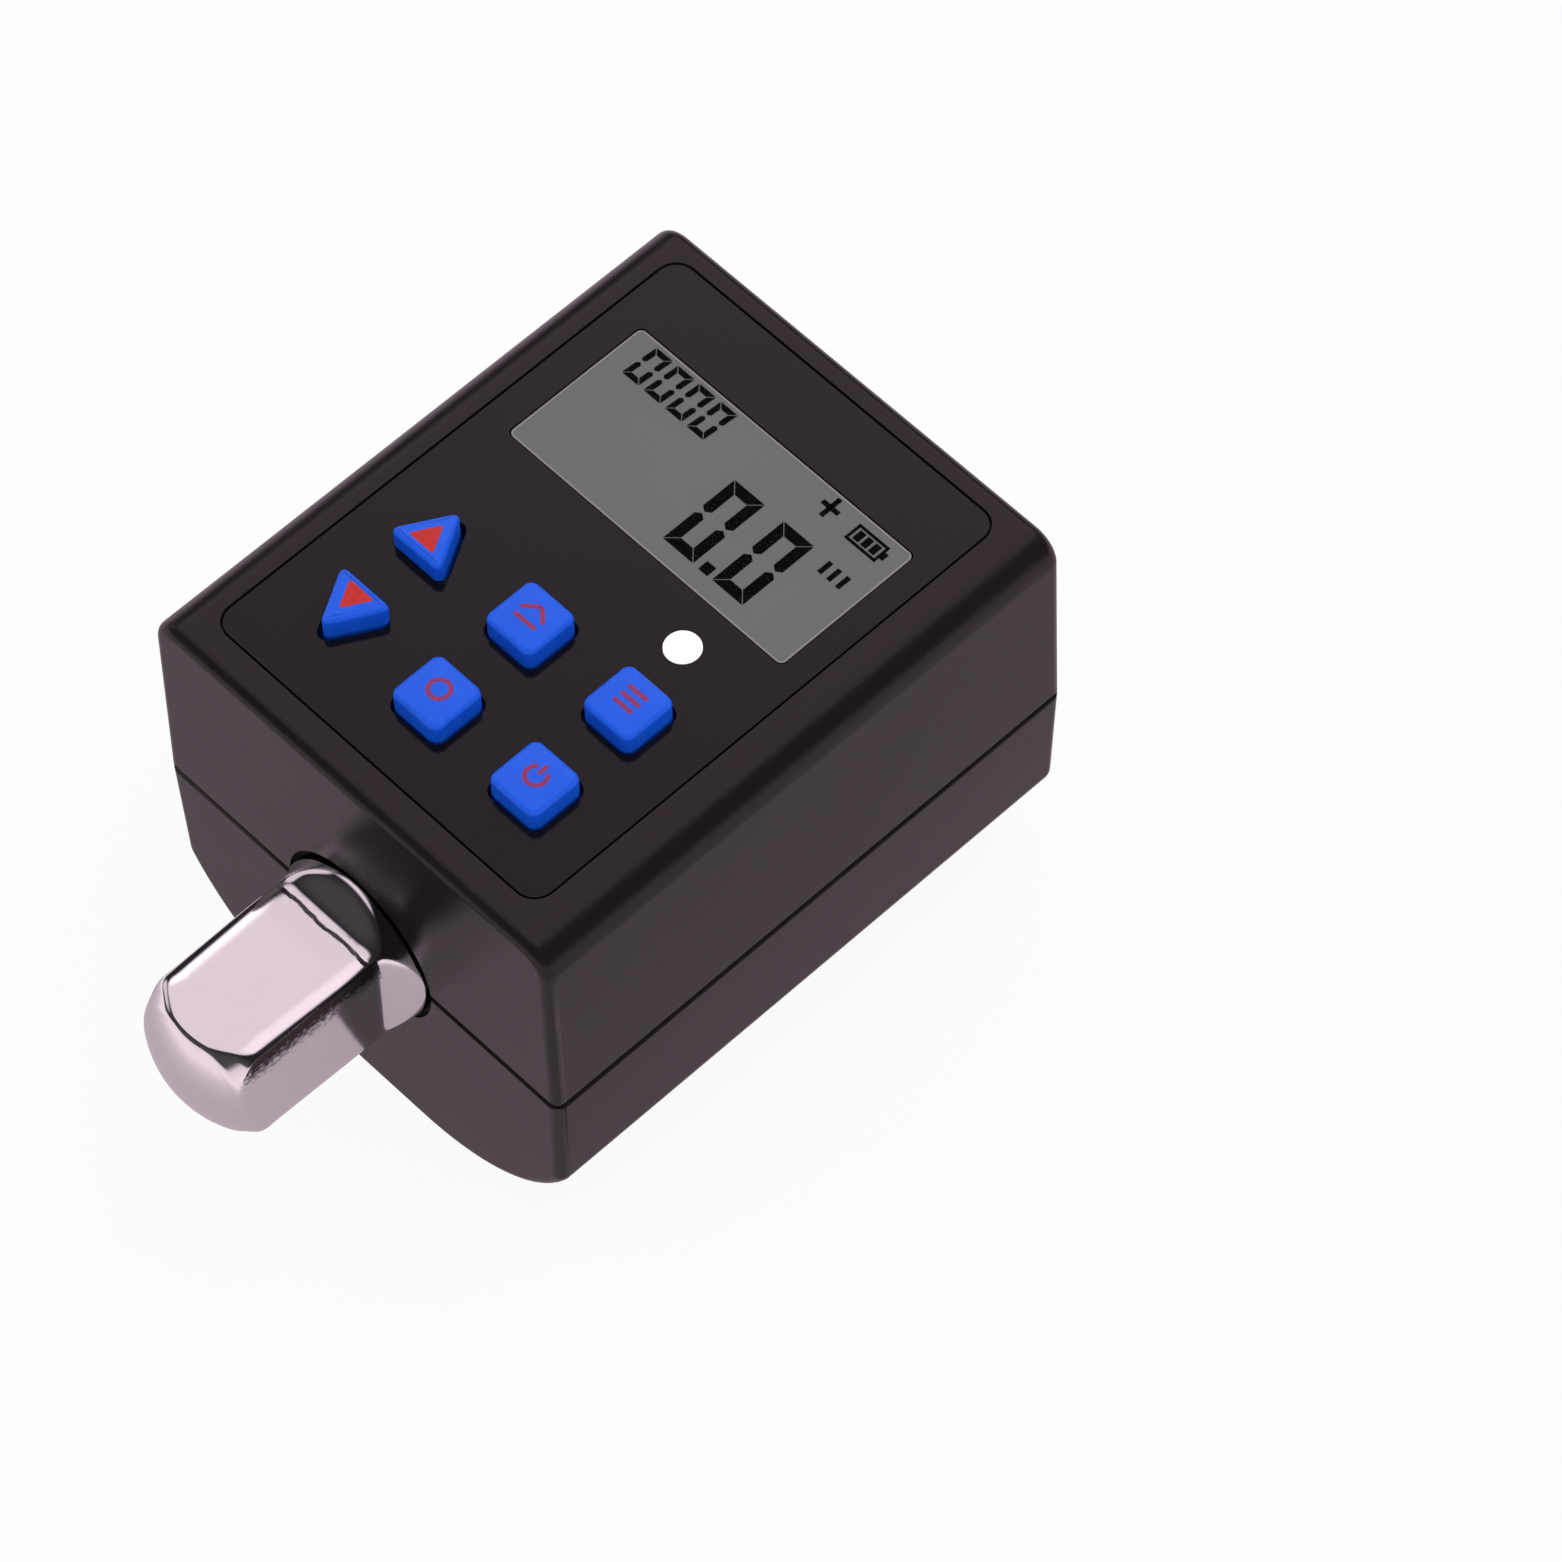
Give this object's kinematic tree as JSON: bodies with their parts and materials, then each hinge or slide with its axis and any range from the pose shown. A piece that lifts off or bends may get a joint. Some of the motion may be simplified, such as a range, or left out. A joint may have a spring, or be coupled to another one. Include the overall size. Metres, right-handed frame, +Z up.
{
  "type": "digital torque adapter",
  "caption": "Square-drive digital torque adapter: a chromed drive shaft through a two-part case with a display, blue push keys, a lamp and a sliding battery door.",
  "frame": {"origin": "centre of the overall box in X and Y, on the plane that the belly rests on", "axes": "+Y along the drive axis from the male square to the socket, +Z up out of the display face, +X to the right of the display as it is read from the male end"},
  "size_m": [0.05, 0.0832, 0.0501],
  "materials": {
    "case_plastic": "satin, fine moulded grain",
    "panel_film": "satin",
    "clear_lens": "clear, slightly grey",
    "display_glass": "grey reflective display",
    "white_plastic": "moulded",
    "carbon_rubber": "matte",
    "blue_rubber": "soft, slightly clear",
    "board_green": "solder resist",
    "chip_plastic": "moulded",
    "lamp_white": "milky clear",
    "key_plastic": "clear blue, satin top",
    "shaft_chrome": "bright plated",
    "spring_steel": "drawn",
    "gauge_film": "amber film",
    "red_wire": "insulated",
    "cell_jacket": "plain jacket",
    "contact_metal": "nickel plated",
    "screw_steel": "zinc plated"
  },
  "bodies": {
    "case": {"upper_case": "case_plastic", "lower_case": "case_plastic", "face_panel": "panel_film", "window_lens": "clear_lens", "display_glass": "display_glass", "display_frame": "white_plastic", "contact_strips": "carbon_rubber", "main_board": "board_green", "board_chips": "chip_plastic", "buzzer": "chip_plastic", "indicator_lamp": "lamp_white", "keypad_mat": "blue_rubber", "dome_up": "blue_rubber", "dome_down": "blue_rubber", "dome_peak": "blue_rubber", "dome_unit": "blue_rubber", "dome_mode": "blue_rubber", "dome_clear": "blue_rubber", "torque_shaft": "shaft_chrome", "front_bush": "white_plastic", "rear_bush": "white_plastic", "retaining_ring": "spring_steel", "locating_pin": "spring_steel", "strain_gauges": "gauge_film", "gauge_wires": "red_wire", "detent_spring": "spring_steel", "battery_cells": "cell_jacket", "contact_plates": "contact_metal", "contact_springs": "contact_metal", "battery_wires": "red_wire", "case_screws": "screw_steel", "board_screws": "screw_steel"},
    "key_up_body": {"key_up": "key_plastic", "pad_up": "carbon_rubber"},
    "key_down_body": {"key_down": "key_plastic", "pad_down": "carbon_rubber"},
    "key_peak_body": {"key_peak": "key_plastic", "pad_peak": "carbon_rubber"},
    "key_unit_body": {"key_unit": "key_plastic", "pad_unit": "carbon_rubber"},
    "key_mode_body": {"key_mode": "key_plastic", "pad_mode": "carbon_rubber"},
    "key_clear_body": {"key_clear": "key_plastic", "pad_clear": "carbon_rubber"},
    "detent_ball_body": {"detent_ball": "shaft_chrome"},
    "battery_door_body": {"battery_door": "case_plastic"}
  },
  "joints": [
    {"name": "key_up_press", "type": "slide", "parent": "case", "child": "key_up_body", "axis": [0, 0, -1], "range_m": [0, 0.001], "stiffness_N_per_m": 800, "springref_m": -0.0005, "deforming": ["dome_up"]},
    {"name": "key_down_press", "type": "slide", "parent": "case", "child": "key_down_body", "axis": [0, 0, -1], "range_m": [0, 0.001], "stiffness_N_per_m": 800, "springref_m": -0.0005, "deforming": ["dome_down"]},
    {"name": "key_peak_press", "type": "slide", "parent": "case", "child": "key_peak_body", "axis": [0, 0, -1], "range_m": [0, 0.001], "stiffness_N_per_m": 800, "springref_m": -0.0005, "deforming": ["dome_peak"]},
    {"name": "key_unit_press", "type": "slide", "parent": "case", "child": "key_unit_body", "axis": [0, 0, -1], "range_m": [0, 0.001], "stiffness_N_per_m": 800, "springref_m": -0.0005, "deforming": ["dome_unit"]},
    {"name": "key_mode_press", "type": "slide", "parent": "case", "child": "key_mode_body", "axis": [0, 0, -1], "range_m": [0, 0.001], "stiffness_N_per_m": 800, "springref_m": -0.0005, "deforming": ["dome_mode"]},
    {"name": "key_clear_press", "type": "slide", "parent": "case", "child": "key_clear_body", "axis": [0, 0, -1], "range_m": [0, 0.001], "stiffness_N_per_m": 800, "springref_m": -0.0005, "deforming": ["dome_clear"]},
    {"name": "detent_press", "type": "slide", "parent": "case", "child": "detent_ball_body", "axis": [0, 0, 1], "range_m": [0, 0.0008], "stiffness_N_per_m": 4000, "springref_m": -0.0005, "deforming": ["detent_spring"]},
    {"name": "battery_door_slide", "type": "slide", "parent": "case", "child": "battery_door_body", "axis": [0, 1, 0], "range_m": [0, 0.048]}
  ]
}
